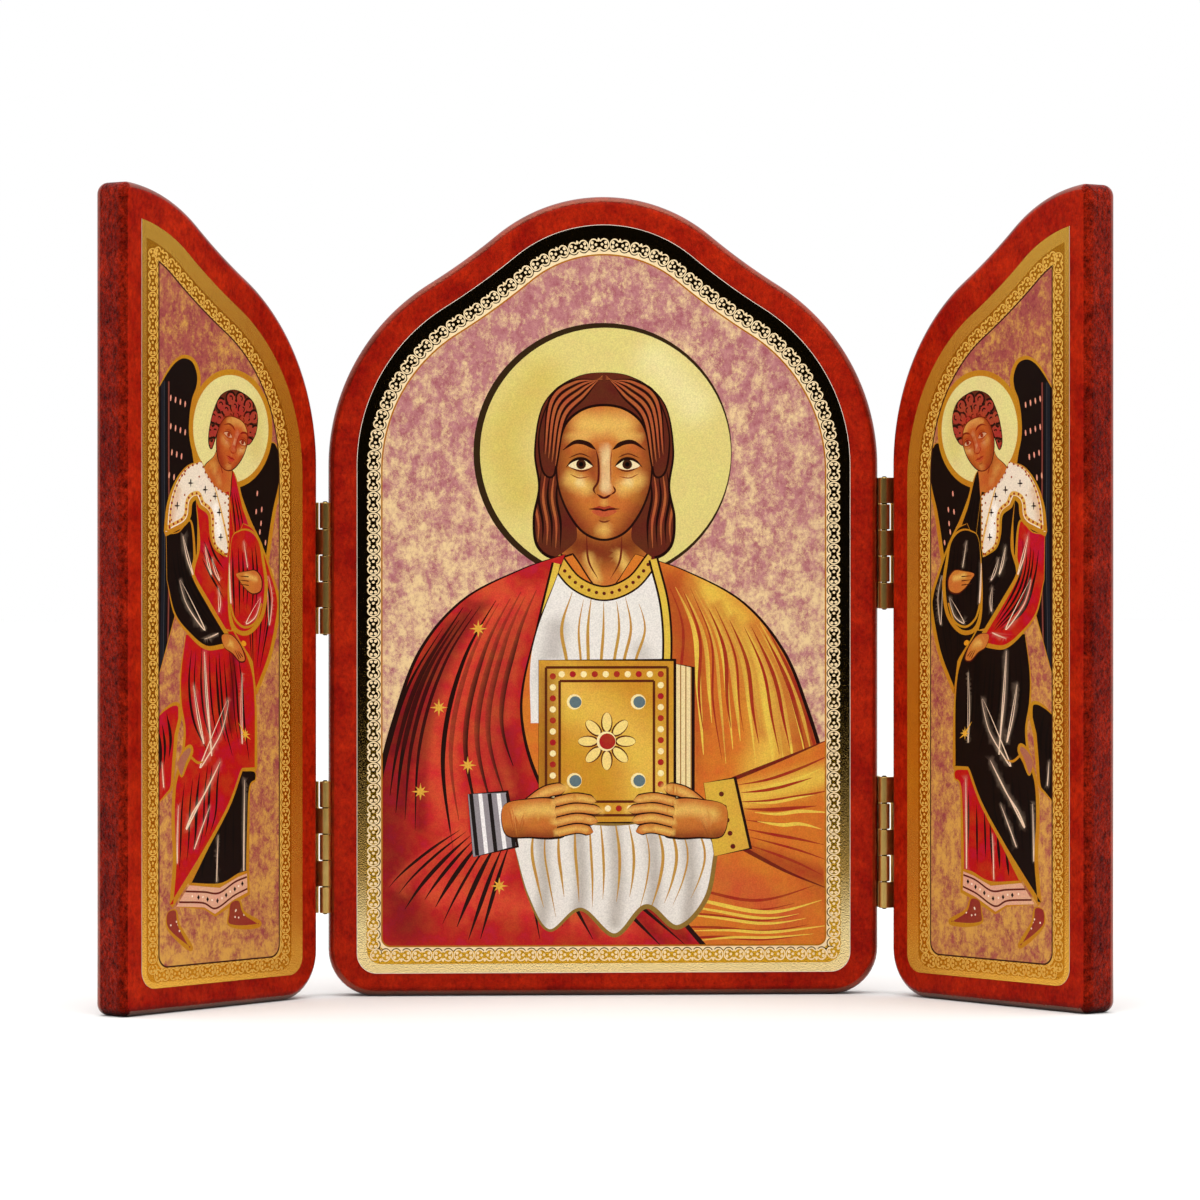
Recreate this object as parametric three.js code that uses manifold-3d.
// A small folding triptych: an arched centre board that stands on its foot, and two half-arched
// wings on brass butt hinges, which close over its face. Each board carries a foil-edged print.
//
// Millimetres, +Z up. The origin is the middle of the centre board's underside. The centre board's
// face looks along -Y, and +X is to the viewer's right.

import * as THREE from 'three';
import { mergeVertices } from 'three/addons/utils/BufferGeometryUtils.js';
import Module from 'manifold-3d';

const wasm = await Module();
wasm.setup();

// ---- driving dimensions ----

const BOARD = {
  halfWidth: 52.5,
  height: 152.4,
  thickness: 8,
  easedEdge: 1.8, // radius worked along every edge of both faces
  footRadius: 9, // lower corners, seen from the front
};
const FREE_CORNER_RADIUS = 2.2; // both ends of a wing's free edge, seen from the front

// The arch is three arcs that run smoothly into each other: a convex crown, a slightly hollow
// flare, and a convex shoulder that ends upright in the board's side.
const ARCH = { crownRadius: 32, flareRadius: 121, shoulderRadius: 41, shoulderHeight: 101 };

const PRINT = { thickness: 0.12, glueGap: 0.06 };
const CENTRE_PRINT = { margin: 5.4, drop: 0, foot: 4.4, footRadius: 3.8 };
const WING_PRINT = { margin: 4.25, foot: 4.85, footRadius: 3.4, freeMargin: 5.2, outward: 0.8 };

// How far each wing stands out of the centre board's plane towards the viewer, how low its print's
// top was trimmed, and how deep its hinges' leaves are let into the centre board's edge.
const WINGS = {
  left: { side: -1, turnDeg: 47.2, printDrop: 2, letIn: 0.5 },
  right: { side: 1, turnDeg: 52.1, printDrop: 3, letIn: 0 },
};
const CLOSED_GAP = 0.6; // between the two wings' free edges when both are closed

const HINGE = {
  length: 25,
  knuckles: 5,
  knuckleGap: 0.2,
  barrelRadius: 1.05,
  pinRadius: 0.55,
  pinClearance: 0.07,
  pinProud: 0.25, // the pin's rounded ends stand out of the barrel
  leafThickness: 0.55,
  leafWidth: 6.4, // from the pin's axis
  leafRadius: 0.8, // free corners
  slotDepth: 1.45, // from the pin's axis: room for the other leaf's knuckles
  slotRadius: 0.45,
  axisOutside: 1.1, // from a board's edge to the pin's axis, where the leaf is not let in
  axisAhead: 0.3, // from the boards' faces to the pin's axis
};

// The foot of each hinge above the boards' underside.
const HINGE_FEET = {
  left: { lower: 16, upper: 69 },
  right: { lower: 16.6, upper: 73.8 },
};

const BRAD = {
  shankRadius: 0.4,
  headRadius: 0.95,
  length: 5.2,
  clearance: 0.06,
  row: 4.3, // from the pin's axis
  inset: 5, // from each end of the leaf
};

// The recess for a leaf that is let in: room around the leaf, and how far past the board's edge and
// face the cutter runs.
const RECESS = { play: 0.1, reach: 2 };

const ARC_STEP_DEG = 7;
const EDGE_STEPS = 3;
const BARREL_STEPS = 18;
const SMALL_STEPS = 10;

const BOARD_FACE = -BOARD.thickness / 2;
const axisX = ({ letIn }) => BOARD.halfWidth + HINGE.axisOutside - letIn;
const AXIS_Y = BOARD_FACE - HINGE.axisAhead;
const LEAF_SEAT = HINGE.barrelRadius - HINGE.leafThickness; // from the axis to the leaf's open side

// ---- materials ----

const finish = (name, color, roughness, metalness) =>
  new THREE.MeshStandardMaterial({ name, color, roughness, metalness });

const stainedWood = () => finish('stained_wood', 0x94301a, 0.4, 0);
const foilPrint = () => finish('foil_print', 0xc9974a, 0.35, 0.3);
const brass = () => finish('brass', 0xc8a24e, 0.3, 1);

// ---- solids ----

// A solid that can be joined and cut, from a closed geometry.
function solid(geometry) {
  const bare = geometry.clone();
  bare.deleteAttribute('normal');
  bare.deleteAttribute('uv');
  const merged = mergeVertices(bare, 1e-4);
  return new wasm.Manifold(
    new wasm.Mesh({
      numProp: 3,
      vertProperties: new Float32Array(merged.attributes.position.array),
      triVerts: new Uint32Array(merged.index.array),
    }),
  );
}

function geometryOf(manifold) {
  const { vertProperties, triVerts } = manifold.getMesh();
  const geometry = new THREE.BufferGeometry();
  geometry.setAttribute('position', new THREE.BufferAttribute(new Float32Array(vertProperties), 3));
  geometry.setIndex(new THREE.BufferAttribute(new Uint32Array(triVerts), 1));
  geometry.computeVertexNormals();
  return geometry;
}

// Pieces on the +X side of a pin are modelled, and those on its -X side are their mirror image.
const turnedTo = (side, manifold) => (side > 0 ? manifold : manifold.mirror([1, 0, 0]));

// An outline drawn in X and Z, made thick along +Y from `front`, with its edges eased.
function slab(outline, front, thickness, easedEdge = 0) {
  const geometry = new THREE.ExtrudeGeometry(outline, {
    depth: thickness - 2 * easedEdge,
    bevelEnabled: easedEdge > 0,
    bevelThickness: easedEdge,
    bevelSize: easedEdge,
    bevelOffset: -easedEdge,
    bevelSegments: EDGE_STEPS,
  });
  return geometry.rotateX(Math.PI / 2).translate(0, front + thickness - easedEdge, 0);
}

// An outline drawn in Y and Z, made thick along +X from x = 0.
function sheet(outline, thickness) {
  const geometry = new THREE.ExtrudeGeometry(outline, { depth: thickness, bevelEnabled: false, curveSegments: 3 });
  return geometry.rotateX(Math.PI / 2).rotateZ(Math.PI / 2);
}

// ---- outlines of boards and prints ----

// Points of an arc from one angle to another, without its last point.
function arc(centre, radius, from, to) {
  const steps = Math.ceil(Math.abs(to - from) / THREE.MathUtils.degToRad(ARC_STEP_DEG));
  return Array.from({ length: steps }, (_, i) => {
    const angle = from + ((to - from) * i) / steps;
    return new THREE.Vector2(centre.x + radius * Math.cos(angle), centre.y + radius * Math.sin(angle));
  });
}

// The arch from its apex down the right-hand side, set in by `margin` and then let down by `drop`.
function halfArch({ margin, drop }) {
  const { crownRadius, flareRadius, shoulderRadius, shoulderHeight } = ARCH;
  const crown = new THREE.Vector2(0, BOARD.height - crownRadius);
  const shoulder = new THREE.Vector2(BOARD.halfWidth - shoulderRadius, shoulderHeight);

  // The flare touches the other two arcs from outside, which fixes its centre.
  const between = shoulder.clone().sub(crown);
  const reach = { crown: crownRadius + flareRadius, shoulder: shoulderRadius + flareRadius };
  const along = (reach.crown ** 2 - reach.shoulder ** 2 + between.lengthSq()) / (2 * between.length());
  const across = Math.sqrt(reach.crown ** 2 - along ** 2);
  const direction = between.normalize();
  const outward = new THREE.Vector2(-direction.y, direction.x);
  const flare = crown.clone().addScaledVector(direction, along).addScaledVector(outward, across);

  const crownEnd = flare.clone().sub(crown).angle();
  const shoulderStart = flare.clone().sub(shoulder).angle();
  return [
    ...arc(crown, crownRadius - margin, Math.PI / 2, crownEnd),
    ...arc(flare, flareRadius + margin, crownEnd + Math.PI, shoulderStart + Math.PI),
    ...arc(shoulder, shoulderRadius - margin, shoulderStart, 0),
    new THREE.Vector2(BOARD.halfWidth - margin, shoulderHeight),
  ].map((p) => p.setY(p.y - drop));
}

// A rounded lower right corner at x = `side`, from its upright edge round to its foot.
function footCorner(side, foot, radius) {
  const centre = new THREE.Vector2(side - radius, foot + radius);
  return [...arc(centre, radius, 0, -Math.PI / 2), new THREE.Vector2(centre.x, foot)];
}

// Points to the right of x = `middle`, and their mirror image to the left of it, in reverse.
const mirrored = (points, middle) => points.map((p) => new THREE.Vector2(2 * middle - p.x, p.y)).reverse();

function centreOutline(arch, foot, footRadius) {
  const right = [...halfArch(arch), ...footCorner(BOARD.halfWidth - arch.margin, foot, footRadius)];
  return new THREE.Shape([...right, ...mirrored(right, 0).slice(0, -1)]);
}

// A wing's half of the arch, from its upright free edge at x = `freeEdge` round to the hinge side.
// Here x is the distance from the pin's axis.
function wingOutline(arch, freeEdge, foot, footRadius, { freeTopRadius, freeFootRadius }) {
  const hingeEdge = HINGE.axisOutside + arch.margin;
  const curve = mirrored(halfArch(arch), (HINGE.axisOutside + BOARD.halfWidth) / 2).reverse();
  const turnIn = freeEdge - freeTopRadius;
  const first = curve.findIndex((p) => p.x < turnIn);
  const [outer, inner] = [curve[first - 1], curve[first]];
  const apex = outer.clone().lerp(inner, (outer.x - turnIn) / (outer.x - inner.x));
  const freeTop = freeTopRadius > 0
    ? arc(new THREE.Vector2(turnIn, apex.y - freeTopRadius), freeTopRadius, 0, Math.PI / 2)
    : [];
  const hingeFoot = mirrored(footCorner(0, foot, footRadius), hingeEdge / 2).reverse();
  const freeFoot = freeFootRadius > 0
    ? footCorner(freeEdge, foot, freeFootRadius).reverse()
    : [new THREE.Vector2(freeEdge, foot)];
  return new THREE.Shape([...freeTop, apex, ...curve.slice(first), ...hingeFoot, ...freeFoot]);
}

// ---- brads ----

// A countersunk brad driven along +X, its head flush at x = 0. With clearance, it is its own hole.
function bradSolid(clearance = 0) {
  const { shankRadius, headRadius, length } = BRAD;
  const profile = [
    new THREE.Vector2(0, -length - clearance),
    new THREE.Vector2(shankRadius + clearance, shankRadius - length),
    new THREE.Vector2(shankRadius + clearance, shankRadius - headRadius),
    new THREE.Vector2(headRadius + clearance, clearance),
    new THREE.Vector2(0, clearance),
  ];
  return solid(new THREE.LatheGeometry(profile, SMALL_STEPS).rotateZ(Math.PI / 2));
}

const BRAD_HEIGHTS = { low: BRAD.inset, high: HINGE.length - BRAD.inset };

// Where one hinge's brads stand, from the pin's axis and the hinge's foot.
const bradSeats = Object.entries(BRAD_HEIGHTS).map(([name, height]) => ({ name, at: [LEAF_SEAT, BRAD.row, height] }));

// ---- hinges ----

// A hinge's own frame: the pin's axis is Z, the hinge's foot is z = 0, and the leaf lies along +Y
// against a board's edge on the pin's +X side.

function pinGeometry() {
  const { length, pinRadius, pinProud } = HINGE;
  const profile = [
    new THREE.Vector2(0, -pinProud),
    new THREE.Vector2(pinRadius - pinProud, -pinProud),
    new THREE.Vector2(pinRadius, 0),
    new THREE.Vector2(pinRadius, length),
    new THREE.Vector2(pinRadius - pinProud, length + pinProud),
    new THREE.Vector2(0, length + pinProud),
  ];
  return new THREE.LatheGeometry(profile, SMALL_STEPS).rotateX(Math.PI / 2);
}

// A rectangle in Y and Z with its two +Y corners rounded.
function tongue(back, front, low, high, radius) {
  const shape = new THREE.Shape();
  shape.moveTo(back, low);
  shape.lineTo(front - radius, low);
  shape.absarc(front - radius, low + radius, radius, -Math.PI / 2, 0);
  shape.absarc(front - radius, high - radius, radius, 0, Math.PI / 2);
  shape.lineTo(back, high);
  return shape;
}

// The shallow recess in the centre board's edge that takes a leaf let into it, and opens to the
// board's face.
function recessSolid() {
  const { axisOutside, leafWidth, length, leafRadius } = HINGE;
  const shape = tongue(-RECESS.reach, leafWidth + RECESS.play, -RECESS.play, length + RECESS.play, leafRadius);
  return solid(sheet(shape, RECESS.reach)).translate([axisOutside - RECESS.reach, 0, 0]);
}

const upright = (radius, low, high) =>
  solid(new THREE.CylinderGeometry(radius, radius, high - low, BARREL_STEPS).rotateX(Math.PI / 2))
    .translate([0, 0, (low + high) / 2]);

// One leaf. It keeps every other knuckle, from the first one up or from the second, and is slotted
// for the rest.
function leafSolid(keepsFirst) {
  const { length, knuckles, knuckleGap, barrelRadius, leafThickness, leafWidth } = HINGE;
  const pitch = length / knuckles;
  const numbers = [...Array(knuckles).keys()];
  const isOwn = (number) => (number % 2 === 0) === keepsFirst;

  let leaf = solid(sheet(tongue(0, leafWidth, 0, length, HINGE.leafRadius), leafThickness));
  leaf = leaf.translate([LEAF_SEAT, 0, 0]);
  for (const number of numbers.filter(isOwn)) {
    const low = number === 0 ? 0 : number * pitch + knuckleGap / 2;
    const high = number === knuckles - 1 ? length : (number + 1) * pitch - knuckleGap / 2;
    leaf = leaf.add(upright(barrelRadius, low, high));
  }
  for (const number of numbers.filter((n) => !isOwn(n))) {
    const low = number * pitch - knuckleGap / 2;
    const high = (number + 1) * pitch + knuckleGap / 2;
    const room = tongue(-barrelRadius, HINGE.slotDepth, low, high, HINGE.slotRadius);
    leaf = leaf.subtract(solid(sheet(room, 2 * barrelRadius)));
  }
  leaf = leaf.subtract(upright(HINGE.pinRadius + HINGE.pinClearance, -length, 2 * length));
  for (const { at } of bradSeats) {
    leaf = leaf.subtract(bradSolid(BRAD.clearance).translate(at));
  }
  return leaf;
}

// A board with a blind hole for every brad of the hinges on one edge, and a recess for each leaf
// that is let in. The pin's axis is at `axis`, and `side` is the way from it to the board.
function drilled(board, side, axis, feet, letIn = 0) {
  let wood = board;
  for (const foot of Object.values(feet)) {
    if (letIn > 0) {
      wood = wood.subtract(turnedTo(side, recessSolid()).translate([axis.x, axis.y, foot]));
    }
    for (const { at } of bradSeats) {
      const hole = turnedTo(side, bradSolid(BRAD.clearance).translate(at));
      wood = wood.subtract(hole.translate([axis.x, axis.y, foot]));
    }
  }
  return wood;
}

// ---- the whole ----

const triptych = new THREE.Group();

function place(parent, name, geometry, material, x = 0, y = 0, z = 0) {
  const mesh = new THREE.Mesh(geometry, material);
  mesh.name = name;
  mesh.position.set(x, y, z);
  parent.add(mesh);
}

const centreShape = centreOutline({ margin: 0, drop: 0 }, 0, BOARD.footRadius);
let centreBoard = solid(slab(centreShape, BOARD_FACE, BOARD.thickness, BOARD.easedEdge));
for (const [name, wing] of Object.entries(WINGS)) {
  const axis = { x: wing.side * axisX(wing), y: AXIS_Y };
  centreBoard = drilled(centreBoard, -wing.side, axis, HINGE_FEET[name], wing.letIn);
}
place(triptych, 'centre_board', geometryOf(centreBoard), stainedWood());

const centrePrint = slab(centreOutline(CENTRE_PRINT, CENTRE_PRINT.foot, CENTRE_PRINT.footRadius), 0, PRINT.thickness);
place(triptych, 'centre_print', centrePrint, foilPrint(), 0, BOARD_FACE - PRINT.glueGap - PRINT.thickness, 0);

const freeEdge = (axisX(WINGS.left) + axisX(WINGS.right) - CLOSED_GAP) / 2;
const wingShape = wingOutline({ margin: 0, drop: 0 }, freeEdge, 0, BOARD.footRadius, {
  freeTopRadius: FREE_CORNER_RADIUS,
  freeFootRadius: FREE_CORNER_RADIUS,
});

for (const [name, { side, turnDeg, printDrop, letIn }] of Object.entries(WINGS)) {
  const pinX = side * axisX({ letIn });
  const wing = new THREE.Group();
  wing.position.set(pinX, AXIS_Y, 0);
  wing.rotation.z = -side * THREE.MathUtils.degToRad(turnDeg);
  triptych.add(wing);

  const board = turnedTo(side, solid(slab(wingShape, HINGE.axisAhead, BOARD.thickness, BOARD.easedEdge)));
  const drilledBoard = drilled(board, side, { x: 0, y: 0 }, HINGE_FEET[name]);
  place(wing, `${name}_wing_board`, geometryOf(drilledBoard), stainedWood());

  const { margin, foot: printFoot, footRadius, freeMargin, outward } = WING_PRINT;
  const printShape = wingOutline({ margin, drop: printDrop }, freeEdge - freeMargin, printFoot, footRadius, {
    freeTopRadius: 0,
    freeFootRadius: footRadius,
  });
  const print = turnedTo(side, solid(slab(printShape, 0, PRINT.thickness)));
  const printY = HINGE.axisAhead - PRINT.glueGap - PRINT.thickness;
  place(wing, `${name}_wing_print`, geometryOf(print), foilPrint(), side * outward, printY, 0);

  for (const [level, foot] of Object.entries(HINGE_FEET[name])) {
    const hinge = `${name}_${level}_hinge`;
    place(triptych, `${hinge}_pin`, pinGeometry(), brass(), pinX, AXIS_Y, foot);

    // The hinges are all alike and all face one way, so the leaf on a pin's +X side is the same
    // on both sides of the centre board.
    const leaves = [
      { holder: triptych, of: 'centre', towards: -side, x: pinX, y: AXIS_Y },
      { holder: wing, of: 'wing', towards: side, x: 0, y: 0 },
    ];
    for (const { holder, of, towards, x, y } of leaves) {
      const leaf = turnedTo(towards, leafSolid(towards > 0));
      place(holder, `${hinge}_${of}_leaf`, geometryOf(leaf), brass(), x, y, foot);
      for (const { name: end, at } of bradSeats) {
        const brad = turnedTo(towards, bradSolid().translate(at));
        place(holder, `${hinge}_${of}_brad_${end}`, geometryOf(brad), brass(), x, y, foot);
      }
    }
  }
}

export default triptych;
